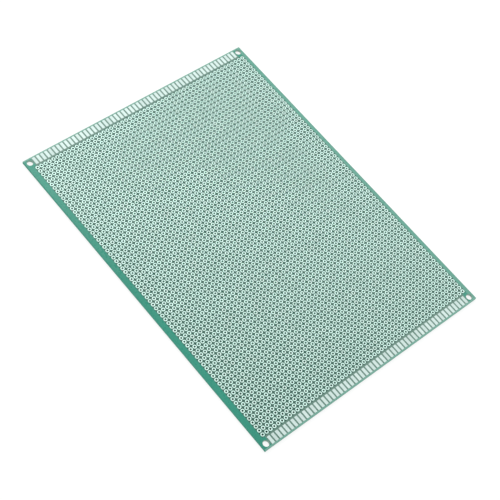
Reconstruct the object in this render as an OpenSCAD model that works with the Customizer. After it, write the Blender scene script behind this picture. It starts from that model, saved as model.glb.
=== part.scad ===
// Single-sided prototype board: a drilled laminate sheet with a square grid of tinned ring pads
// and a row of tinned contact fingers along each short end.
// Lengths are in millimetres and +Z is up. The origin is at the middle of the underside.

/* [Board] */
// length of the board, along X
board_l = 200; // [80:0.5:260]
// width of the board, along Y
board_w = 150; // [50:0.5:200]
// thickness of the laminate
board_t = 1.6; // [0.8:0.1:3.2]
// depth by which the rows of holes sit below the plain border, and each row below the one beside it
weave_relief = 0.01; // [0.005:0.005:0.02]

/* [Hole grid] */
// distance between neighbouring holes, both ways
hole_pitch = 2.54; // [2:0.02:3]
// diameter of a drilled lead hole
hole_d = 1; // [0.7:0.05:1.1]
// plain laminate kept between the long edges and the outer rows' cells
edge_land = 2.1; // [1.5:0.1:6]
// sideways shift of the hole grid from the board's middle, along Y
grid_shift = 0.45; // [-0.6:0.05:0.6]

/* [Ring pads] */
// bare gap between neighbouring ring pads
pad_gap = 0.38; // [0.2:0.02:0.6]
// bare rim left between a hole and its pad
pad_rim = 0.03; // [0.01:0.01:0.1]
// height of a ring pad's crest, midway between its inner and outer edges
pad_h = 0.04; // [0.03:0.005:0.08]

/* [Contact fingers] */
// length of a finger, along X
finger_l = 4.4; // [2:0.1:8]
// distance between neighbouring fingers
finger_pitch = 2.55; // [2:0.01:3]
// bare gap between neighbouring fingers
finger_gap = 0.85; // [0.4:0.05:1.2]
// bare laminate between the board's end and the fingers
finger_inset = 0.75; // [0.3:0.05:2]
// bare laminate between the fingers and the first column of cells
finger_land = 0.75; // [0.3:0.05:2]
// sideways shift of both rows of fingers from the board's middle, along Y
finger_shift = -0.15; // [-0.6:0.01:0.6]
// height of a finger
finger_h = 0.04; // [0.03:0.005:0.08]
// corner radius of a finger
finger_r = 0.25; // [0.05:0.05:0.5]

/* [Corner holes] */
// diameter of a corner mounting hole
mount_d = 3.5; // [2:0.1:4]
// distance of a mounting hole's centre from the two edges beside it
mount_inset = 2.75; // [2.5:0.05:3.5]
// bare laminate kept between a mounting hole and the nearest finger
mount_clear = 0.2; // [0.1:0.05:1]

/* [Hidden] */
hole_fn = 24;
pad_fn = 24;
corner_fn = 24;
finger_fn = 24;
end_land = finger_inset + finger_l + finger_land;
columns = floor((board_l - 2 * end_land) / hole_pitch);
rows = floor((board_w - 2 * (edge_land + abs(grid_shift))) / hole_pitch);
field_l = columns * hole_pitch;
field_w = rows * hole_pitch;
pad_in_r = hole_d / 2 + pad_rim;
pad_out_r = (hole_pitch - pad_gap) / 2;
pad_mid_r = (pad_in_r + pad_out_r) / 2;
left_columns = floor(columns / 2);
finger_w = finger_pitch - finger_gap;
finger_keep_out = mount_inset + mount_d / 2 + mount_clear + abs(finger_shift);
fingers = floor((board_w - 2 * finger_keep_out + finger_gap) / finger_pitch);
finger_x = board_l / 2 - finger_inset - finger_l / 2;
mount_x = board_l / 2 - mount_inset;
mount_y = board_w / 2 - mount_inset;

// Place of the i-th of n things at a pitch, with the group centred on zero.
function place(i, n, pitch) = (i - (n - 1) / 2) * pitch;

// Place of a row of holes across the board.
function row_y(row) = place(row, rows, hole_pitch) + grid_shift;

// Depth of a row below the border: neighbouring rows differ, so that each row is a face of its own.
function row_depth(row) = weave_relief * (1 + row % 2);

// Rectangle with rounded corners, centred on the origin.
module rounded_rect(l, w, r) {
  square([l - 2 * r, w], center = true);
  square([l, w - 2 * r], center = true);
  for (sx = [-1, 1], sy = [-1, 1])
    translate([sx * (l / 2 - r), sy * (w / 2 - r)])
      circle(r = r, $fn = finger_fn);
}

// Plain border round the hole field, with the four corner mounting holes.
module border() {
  linear_extrude(board_t)
    difference() {
      square([board_l, board_w], center = true);
      translate([0, grid_shift])
        square([field_l, field_w], center = true);
      for (sx = [-1, 1], sy = [-1, 1])
        translate([sx * mount_x, sy * mount_y])
          circle(d = mount_d, $fn = corner_fn);
    }
}

// One row of the field: a strip of laminate one pitch wide, drilled along its middle.
module drilled_row(row) {
  translate([0, row_y(row), row_depth(row)])
    linear_extrude(board_t - 2 * row_depth(row))
      difference() {
        square([field_l, hole_pitch], center = true);
        for (column = [0 : columns - 1])
          translate([place(column, columns, hole_pitch), 0])
            circle(d = hole_d, $fn = hole_fn);
      }
}

// Ring of tinned copper that rises to a low crest round its middle, lying flat on z = 0.
module ring_pad() {
  rotate_extrude($fn = pad_fn)
    polygon([[pad_in_r, 0], [pad_out_r, 0], [pad_mid_r, pad_h]]);
}

// Ring pads of the given columns, each seated on the face of its own row.
module pad_field(first, last) {
  for (row = [0 : rows - 1], column = [first : last])
    translate([place(column, columns, hole_pitch), row_y(row), board_t - row_depth(row)])
      ring_pad();
}

// Row of contact fingers, side by side along Y, lying flat on z = 0.
module finger_row() {
  for (finger = [0 : fingers - 1])
    translate([0, place(finger, fingers, finger_pitch) + finger_shift])
      linear_extrude(finger_h)
        rounded_rect(finger_l, finger_w, finger_r);
}

module board() {
  color("mediumseagreen")
    union() {
      border();
      for (row = [0 : rows - 1])
        drilled_row(row);
    }
}

module left_ring_pads() {
  color("gainsboro")
    pad_field(0, left_columns - 1);
}

module right_ring_pads() {
  color("gainsboro")
    pad_field(left_columns, columns - 1);
}

module left_fingers() {
  color("whitesmoke")
    translate([-finger_x, 0, board_t])
      finger_row();
}

module right_fingers() {
  color("whitesmoke")
    translate([finger_x, 0, board_t])
      finger_row();
}

board();
left_ring_pads();
right_ring_pads();
left_fingers();
right_fingers();
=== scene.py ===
"""Dresses the prototype board's CAD solids: green solder mask, bare laminate and tin.

The board lies on a white studio floor, and the camera stands where the photograph's stood.
"""

import math

import bpy
from mathutils import Matrix, Vector


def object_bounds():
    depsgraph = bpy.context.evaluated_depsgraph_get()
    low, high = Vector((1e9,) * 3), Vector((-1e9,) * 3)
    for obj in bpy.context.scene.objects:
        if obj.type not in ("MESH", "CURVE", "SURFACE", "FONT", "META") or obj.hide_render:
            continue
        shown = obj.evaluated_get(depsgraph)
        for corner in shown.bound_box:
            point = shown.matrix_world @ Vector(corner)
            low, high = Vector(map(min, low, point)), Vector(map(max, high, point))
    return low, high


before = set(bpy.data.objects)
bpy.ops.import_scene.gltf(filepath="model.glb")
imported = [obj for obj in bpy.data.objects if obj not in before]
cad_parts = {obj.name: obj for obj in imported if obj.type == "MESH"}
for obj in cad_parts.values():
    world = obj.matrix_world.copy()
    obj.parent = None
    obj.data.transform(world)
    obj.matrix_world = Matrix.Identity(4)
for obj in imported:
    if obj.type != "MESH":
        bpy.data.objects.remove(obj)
cad_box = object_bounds()

MM = 0.001

# The pad grid, as the CAD has it. Its middle is a little behind the board's.
PITCH = 2.54 * MM
COLUMNS, ROWS = 74, 57
GRID_SHIFT = 0.45 * MM
FIELD_HALF = Vector((COLUMNS, ROWS)) * PITCH / 2
REAR_MARGIN = FIELD_HALF.y + GRID_SHIFT
PAD_R = 1.08 * MM
MASK_CLEARANCE = 0.07 * MM

# A place in cells: whole numbers at a cell's sides and a pad at its middle. The number of columns
# is even, so the grid's middle lies between two of them. The number of rows is odd, so the middle
# lies on one.
HALF_CELL = 0.5
CELL_SCALE = (1 / PITCH, 1 / PITCH, 0)
CELL_SHIFT = (0.0, HALF_CELL - GRID_SHIFT / PITCH, 0.0)

# The board's outline, and the bands of fingers at its two ends. A finger's cell is a metre long,
# from the board's middle outwards, so it holds one finger of one end.
BOARD_HALF = Vector((100, 75)) * MM
OUTLINE_SHARE = 0.999
FINGER_BAND = 99.25 * MM
FINGER_BAND_HALF = 70.3 * MM
FINGER_PITCH = 2.55 * MM
FINGER_SHIFT = -0.15 * MM
FINGER_SCALE = (1.0, 1 / FINGER_PITCH, 0.0)
FINGER_CELL_SHIFT = (0.0, HALF_CELL - FINGER_SHIFT / FINGER_PITCH, 0.0)

# Colours, linear. A painted sheen makes the mask paler along the ends and, by a share, the rear
# edge.
MASK_DEEP = (0.005, 0.215, 0.142, 1)
MASK_PALE = (0.010, 0.262, 0.178, 1)
MASK_PAINTED_SHEEN = (0.130, 0.335, 0.260, 1)
REAR_SHEEN_SHARE = 0.6
# The mask between the pads, the mask between the fingers, and the mask's opening round each pad.
WEB = (0.025, 0.102, 0.075, 1)
BAND = (0.100, 0.210, 0.165, 1)
WINDOW = (0.014, 0.046, 0.034, 1)
# The underside, the cut edges, and the walls of the corner holes and, in painted shade, of the lead
# holes.
LAMINATE = (0.330, 0.360, 0.170, 1)
LAMINATE_FIBRE = (0.420, 0.450, 0.240, 1)
EDGE = (0.006, 0.240, 0.165, 1)
EDGE_FIBRE = (0.020, 0.310, 0.220, 1)
CORNER_BORE = (0.300, 0.450, 0.380, 1)
HOLE_SHADE_DARK = (0.024, 0.112, 0.082, 1)
HOLE_SHADE_PALE = (0.050, 0.185, 0.135, 1)
TIN_BRIGHT = (0.625, 0.86, 0.786, 1)
TIN_DULL = (0.40, 0.55, 0.50, 1)
TIN_WARM = (0.66, 0.76, 0.71, 1)
FINGER_BRIGHT = (0.633, 0.748, 0.722, 1)
FINGER_DULL = (0.44, 0.54, 0.51, 1)
FLOOR_WHITE = (0.22, 0.22, 0.22, 1)
FLOOR_DUSTY = (0.2156, 0.2156, 0.2156, 1)
WHITE = (1, 1, 1, 1)

# The laminate's patterns. A radian is one of the weave's wave: its node has 20 of them to a unit.
CLOTH_RADIAN = 0.45 * MM
WAVE_RADIANS = 20
CLOTH_RELIEF = 0.01 * MM
CLOTH_BUMP = 0.25
CLOUD_SIZE = 30 * MM
SPECKLE_SIZE = 0.8 * MM
CLOUD_SHARE = SPECKLE_SHARE = 0.5
CUT_GRAIN = 0.3 * MM
CUT_SHARE = 0.5
HOLE_RARITY = 3.0
SMEAR_SIZE = 2 * MM
MASK_ROUGHNESS = (0.24, 0.34)
MASK_GLOSS = 0.5
FIELD_GLOSS_LOSS = 0.1
SIDE_GLOSS_SHARE = 0.2
FACING_LIMIT = 0.5

# The tin's patterns. Few pads are old, fewer are flushed with warmth, and none is wholly so.
AGE_RARITY = 2.0
FLUSH_RARITY = 4.0
FLUSH_MOST = 0.25
PATCH_SIZE = 0.5 * MM
PATCH_MOST = 0.35
SHEEN_SPREAD = 0.06
RIPPLE_RELIEF = 0.03 * MM
RIPPLE_BUMP = 0.5

# Noise keeps near its middle, between these values, and has two levels of detail or three.
NOISE_LOW, NOISE_HIGH = 0.3, 0.7
PLAIN_DETAIL, FINE_DETAIL = 2.0, 3.0

# The studio, in metres and watts: a glowing floor, an even white sky and two soft boxes.
FLOOR_HALF = 3.0
FLOOR_GLOW = 0.8
DUST_SIZE = 200 * MM
SKY_STRENGTH = 0.78
KEY = {"place": (-0.16, 1.22, 0.84), "aim": (0, 0, 0), "side": 1.5, "power": 8.5}
FILL = {"place": (-0.68, 0.06, 0.66), "aim": (-0.05, -0.05, 0), "side": 0.6, "power": 3.4}

# The camera that a fit of the pad grid to the photograph gives.
CAMERA_PLACE = Vector((219.2, -329.05, 579.7)) * MM
CAMERA_AIM = Vector((9.15, -8.32, 1.6)) * MM
CAMERA_ROLL = math.radians(19.75)
CAMERA_CLIP = (0.01, 20)
FOCAL_PX = 1327.3
FRAME_PX = 500
SENSOR = 36.0


def new_material(name):
    """A material of one Principled shader and no other nodes, with its tree and that shader."""
    made = bpy.data.materials.new(name)
    made.use_nodes = True
    tree = made.node_tree
    tree.nodes.clear()
    shader = tree.nodes.new("ShaderNodeBsdfPrincipled")
    output = tree.nodes.new("ShaderNodeOutputMaterial")
    tree.links.new(shader.outputs["BSDF"], output.inputs["Surface"])
    return made, tree, shader


def add(tree, kind, inputs, **settings):
    """A node of that kind, with its settings and its inputs: values, or other nodes' outputs."""
    made = tree.nodes.new(kind)
    for name, value in settings.items():
        setattr(made, name, value)
    for name, value in inputs.items():
        plug(tree, made.inputs[name], value)
    return made


def plug(tree, socket, value):
    """Links an output to the socket, or sets the socket's own value."""
    if isinstance(value, bpy.types.NodeSocket):
        tree.links.new(value, socket)
    else:
        socket.default_value = value


def math_node(tree, operation, a, b=0.0):
    return add(tree, "ShaderNodeMath", {0: a, 1: b}, operation=operation).outputs[0]


def vector_math(tree, operation, a, b=(0, 0, 0)):
    return add(tree, "ShaderNodeVectorMath", {0: a, 1: b}, operation=operation).outputs[0]


def separate(tree, vector):
    """The vector's X, Y and Z outputs."""
    return add(tree, "ShaderNodeSeparateXYZ", {0: vector}).outputs


def mix_colour(tree, share, a, b):
    """Colour a, with that share of colour b."""
    made = tree.nodes.new("ShaderNodeMix")
    made.data_type = "RGBA"
    plug(tree, made.inputs["Factor"], share)
    plug(tree, made.inputs["A"], a)
    plug(tree, made.inputs["B"], b)
    return made.outputs["Result"]


def noise(tree, where, size, detail=PLAIN_DETAIL):
    """Noise from 0 to 1 whose features are about that size, in metres."""
    inputs = {"Vector": where, "Scale": 1 / size, "Detail": detail}
    return add(tree, "ShaderNodeTexNoise", inputs).outputs["Fac"]


def spread(tree, value, low, high):
    """A noise value stretched to run from low to high."""
    inputs = {
        "Value": value,
        "From Min": NOISE_LOW,
        "From Max": NOISE_HIGH,
        "To Min": low,
        "To Max": high,
    }
    return add(tree, "ShaderNodeMapRange", inputs).outputs["Result"]


def weave(tree, where, radian):
    """The plain weave of glass cloth, from 0 to 1: highest where threads of both ways cross."""
    inputs = {
        "Vector": where,
        "Scale": 1 / (WAVE_RADIANS * radian),
        "Distortion": 0.6,
        "Detail": 1.0,
    }
    bands = [
        add(tree, "ShaderNodeTexWave", inputs, bands_direction=direction).outputs["Fac"]
        for direction in "XY"
    ]
    return math_node(tree, "MULTIPLY", *bands)


def bump(tree, height, distance, strength):
    inputs = {"Height": height, "Distance": distance, "Strength": strength}
    return add(tree, "ShaderNodeBump", inputs).outputs["Normal"]


def inside(tree, place, half, shift=0.0):
    """1 inside the rectangle of that half size, whose middle is that far along Y, else 0."""
    across = math_node(tree, "SUBTRACT", place["Y"], shift)
    return math_node(
        tree,
        "MULTIPLY",
        math_node(tree, "LESS_THAN", math_node(tree, "ABSOLUTE", place["X"]), half[0]),
        math_node(tree, "LESS_THAN", math_node(tree, "ABSOLUTE", across), half[1]),
    )


def place_in_cells(tree, where, scale, shift):
    return vector_math(tree, "ADD", vector_math(tree, "MULTIPLY", where, scale), shift)


def cell_chance(tree, cell):
    """Chance from 0 to 1, as a value and as a colour, the same all over a cell."""
    own = vector_math(tree, "FLOOR", cell)
    return add(tree, "ShaderNodeTexWhiteNoise", {"Vector": own}, noise_dimensions="3D").outputs


def mask_window(tree, cell, in_field):
    """1 in the mask's round openings, each a little wider than its pad, else 0."""
    from_corner = vector_math(tree, "FRACTION", cell)
    from_middle = vector_math(tree, "SUBTRACT", from_corner, (HALF_CELL, HALF_CELL, 0.0))
    length = add(tree, "ShaderNodeVectorMath", {0: from_middle}, operation="LENGTH")
    radius = (PAD_R + MASK_CLEARANCE) / PITCH
    within = math_node(tree, "LESS_THAN", length.outputs["Value"], radius)
    return math_node(tree, "MULTIPLY", in_field, within)


def padded_face_colour(tree, where, place, cell, in_field):
    """Cloudy mask on the margins, paled by a painted sheen at the ends and rear; dark mask among
    the tin.
    """
    from_side = math_node(tree, "ABSOLUTE", place["X"])
    at_end = math_node(tree, "GREATER_THAN", from_side, FINGER_BAND)
    at_rear = math_node(tree, "GREATER_THAN", place["Y"], REAR_MARGIN)
    rear_painted_sheen = math_node(tree, "MULTIPLY", at_rear, REAR_SHEEN_SHARE)
    painted_sheen = math_node(tree, "MAXIMUM", at_end, rear_painted_sheen)
    in_band = inside(tree, place, (FINGER_BAND, FINGER_BAND_HALF), FINGER_SHIFT)

    cloudy = spread(tree, noise(tree, where, CLOUD_SIZE), 0.0, 1.0)
    speckled = spread(tree, noise(tree, where, SPECKLE_SIZE, FINE_DETAIL), 0.0, SPECKLE_SHARE)
    tone = math_node(tree, "ADD", math_node(tree, "MULTIPLY", cloudy, CLOUD_SHARE), speckled)
    coat = mix_colour(tree, tone, MASK_DEEP, MASK_PALE)
    # A painted sheen: the mask is made paler along the ends and, by a share, along the rear edge.
    mask = mix_colour(tree, painted_sheen, coat, MASK_PAINTED_SHEEN)
    margin = mix_colour(tree, in_band, mask, BAND)
    masked = mix_colour(tree, in_field, margin, WEB)
    return mix_colour(tree, mask_window(tree, cell, in_field), masked, WINDOW)


def side_colour(tree, where, place, cell, in_field):
    """Rough-cut outer edges, pale corner holes, and lead holes in painted shade, of which a few are
    paler.
    """
    in_outline = inside(tree, place, BOARD_HALF * OUTLINE_SHARE)
    grain = spread(tree, noise(tree, where, CUT_GRAIN), 0, CUT_SHARE)
    rough_cut = mix_colour(tree, grain, EDGE, EDGE_FIBRE)
    # The lead holes' walls are coloured dark as painted shade; at random a few are less dark.
    paleness = math_node(tree, "POWER", cell_chance(tree, cell)["Value"], HOLE_RARITY)
    shaded_bore = mix_colour(tree, paleness, HOLE_SHADE_DARK, HOLE_SHADE_PALE)
    outer = mix_colour(tree, in_outline, rough_cut, CORNER_BORE)
    return mix_colour(tree, in_field, outer, shaded_bore)


def laminate_material():
    """Mask on the padded face, cut laminate on the edges and in holes, bare cloth underneath."""
    made, tree, shader = new_material("laminate")
    coords = tree.nodes.new("ShaderNodeTexCoord").outputs
    where = coords["Object"]
    place = separate(tree, where)
    facing = separate(tree, coords["Normal"])["Z"]
    upward = math_node(tree, "GREATER_THAN", facing, FACING_LIMIT)
    downward = math_node(tree, "LESS_THAN", facing, -FACING_LIMIT)
    in_field = inside(tree, place, FIELD_HALF, GRID_SHIFT)
    cell = place_in_cells(tree, where, CELL_SCALE, CELL_SHIFT)
    cloth = weave(tree, where, CLOTH_RADIAN)

    padded_face = padded_face_colour(tree, where, place, cell, in_field)
    side = side_colour(tree, where, place, cell, in_field)
    bare = mix_colour(tree, cloth, LAMINATE, LAMINATE_FIBRE)
    colour = mix_colour(tree, downward, mix_colour(tree, upward, side, padded_face), bare)
    plug(tree, shader.inputs["Base Color"], colour)

    smear = spread(tree, noise(tree, where, SMEAR_SIZE), *MASK_ROUGHNESS)
    plug(tree, shader.inputs["Roughness"], smear)
    plug(tree, shader.inputs["Normal"], bump(tree, cloth, CLOTH_RELIEF, CLOTH_BUMP))
    field_loss = math_node(tree, "MULTIPLY", in_field, FIELD_GLOSS_LOSS)
    face_gloss = math_node(tree, "SUBTRACT", MASK_GLOSS, field_loss)
    gloss_share = math_node(tree, "MAXIMUM", upward, SIDE_GLOSS_SHARE)
    gloss = math_node(tree, "MULTIPLY", face_gloss, gloss_share)
    plug(tree, shader.inputs["Specular IOR Level"], gloss)
    return made


def tin_material(name, scale, shift, bright, dull, ageing, smoothest, ripple_size):
    """Tin that has run and set on copper, with a rippled skin.

    Each pad or finger is a little brighter, duller or warmer than the next. The scale and the shift
    turn a place into cells, one for each of them.
    """
    made, tree, shader = new_material(name)
    where = tree.nodes.new("ShaderNodeTexCoord").outputs["Object"]
    chance = cell_chance(tree, place_in_cells(tree, where, scale, shift))
    luck = add(tree, "ShaderNodeSeparateColor", {0: chance["Color"]}).outputs

    age = math_node(tree, "POWER", luck["Red"], AGE_RARITY)
    patch = spread(tree, noise(tree, where, PATCH_SIZE, FINE_DETAIL), 0.0, PATCH_MOST)
    dullness = math_node(tree, "ADD", math_node(tree, "MULTIPLY", age, ageing), patch)
    warmth = math_node(tree, "POWER", luck["Green"], FLUSH_RARITY)
    flush = math_node(tree, "MULTIPLY", warmth, FLUSH_MOST)
    colour = mix_colour(tree, flush, mix_colour(tree, dullness, bright, dull), TIN_WARM)
    plug(tree, shader.inputs["Base Color"], colour)

    shader.inputs["Metallic"].default_value = 1.0
    unevenness = math_node(tree, "MULTIPLY", luck["Blue"], SHEEN_SPREAD)
    plug(tree, shader.inputs["Roughness"], math_node(tree, "ADD", unevenness, smoothest))
    ripple = noise(tree, where, ripple_size)
    plug(tree, shader.inputs["Normal"], bump(tree, ripple, RIPPLE_RELIEF, RIPPLE_BUMP))
    return made


def floor_material():
    """A matt light table with a painted shadow: no glow under the drilled field, which the board
    covers.
    """
    made, tree, shader = new_material("studio_floor")
    where = tree.nodes.new("ShaderNodeTexCoord").outputs["Object"]
    dust = spread(tree, noise(tree, where, DUST_SIZE), 0.0, 1.0)
    plug(tree, shader.inputs["Base Color"], mix_colour(tree, dust, FLOOR_WHITE, FLOOR_DUSTY))
    shader.inputs["Roughness"].default_value = 1.0
    shader.inputs["Specular IOR Level"].default_value = 0.0
    shader.inputs["Emission Color"].default_value = WHITE
    # Painted shadow: under the drilled field the floor doesn't glow.
    painted_shadow = inside(tree, separate(tree, where), FIELD_HALF, GRID_SHIFT)
    unshadowed = math_node(tree, "SUBTRACT", 1.0, painted_shadow)
    glow = math_node(tree, "MULTIPLY", unshadowed, FLOOR_GLOW)
    plug(tree, shader.inputs["Emission Strength"], glow)
    return made


def dress(node, material):
    """Gives a CAD node that material as its only one."""
    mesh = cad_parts[node].data
    mesh.materials.clear()
    mesh.materials.append(material)


def make_floor(half):
    mesh = bpy.data.meshes.new("floor")
    corners = [(x * half, y * half, 0) for x, y in ((-1, -1), (1, -1), (1, 1), (-1, 1))]
    mesh.from_pydata(corners, [], [(0, 1, 2, 3)])
    mesh.materials.append(floor_material())
    floor = bpy.data.objects.new("floor", mesh)
    floor.location.z = cad_box[0].z
    bpy.context.scene.collection.objects.link(floor)


def make_world(strength):
    world = bpy.data.worlds.new("studio")
    world.use_nodes = True
    sky = world.node_tree.nodes["Background"].inputs
    sky["Color"].default_value = WHITE
    sky["Strength"].default_value = strength
    bpy.context.scene.world = world


def make_light(name, place, aim, side, power):
    """A square soft box of that side, in metres, turned to the point it lights."""
    lamp = bpy.data.lights.new(name, "AREA")
    lamp.size = side
    lamp.energy = power
    light = bpy.data.objects.new(name, lamp)
    light.location = place
    light.rotation_euler = (Vector(aim) - Vector(place)).to_track_quat("-Z", "Y").to_euler()
    bpy.context.scene.collection.objects.link(light)


def make_camera():
    """The photograph's camera: turned to its aim, then rolled about its own axis."""
    lens = bpy.data.cameras.new("camera")
    lens.sensor_width = SENSOR
    lens.lens = FOCAL_PX / FRAME_PX * SENSOR
    lens.clip_start, lens.clip_end = CAMERA_CLIP
    camera = bpy.data.objects.new("camera", lens)
    level = (CAMERA_AIM - CAMERA_PLACE).to_track_quat("-Z", "Y").to_matrix().to_4x4()
    roll = Matrix.Rotation(CAMERA_ROLL, 4, "Z")
    camera.matrix_world = Matrix.Translation(CAMERA_PLACE) @ level @ roll
    bpy.context.scene.collection.objects.link(camera)
    bpy.context.scene.camera = camera


dress("board", laminate_material())
pad_tin = tin_material(
    "pad_tin",
    CELL_SCALE,
    CELL_SHIFT,
    TIN_BRIGHT,
    TIN_DULL,
    ageing=0.22,
    smoothest=0.54,
    ripple_size=0.7 * MM,
)
dress("left_ring_pads", pad_tin)
dress("right_ring_pads", pad_tin)
finger_tin = tin_material(
    "finger_tin",
    FINGER_SCALE,
    FINGER_CELL_SHIFT,
    FINGER_BRIGHT,
    FINGER_DULL,
    ageing=0.25,
    smoothest=0.65,
    ripple_size=1.2 * MM,
)
dress("left_fingers", finger_tin)
dress("right_fingers", finger_tin)

make_floor(FLOOR_HALF)
make_world(SKY_STRENGTH)
make_light("key", **KEY)
make_light("fill", **FILL)
make_camera()
bpy.context.scene.view_settings.view_transform = "Standard"
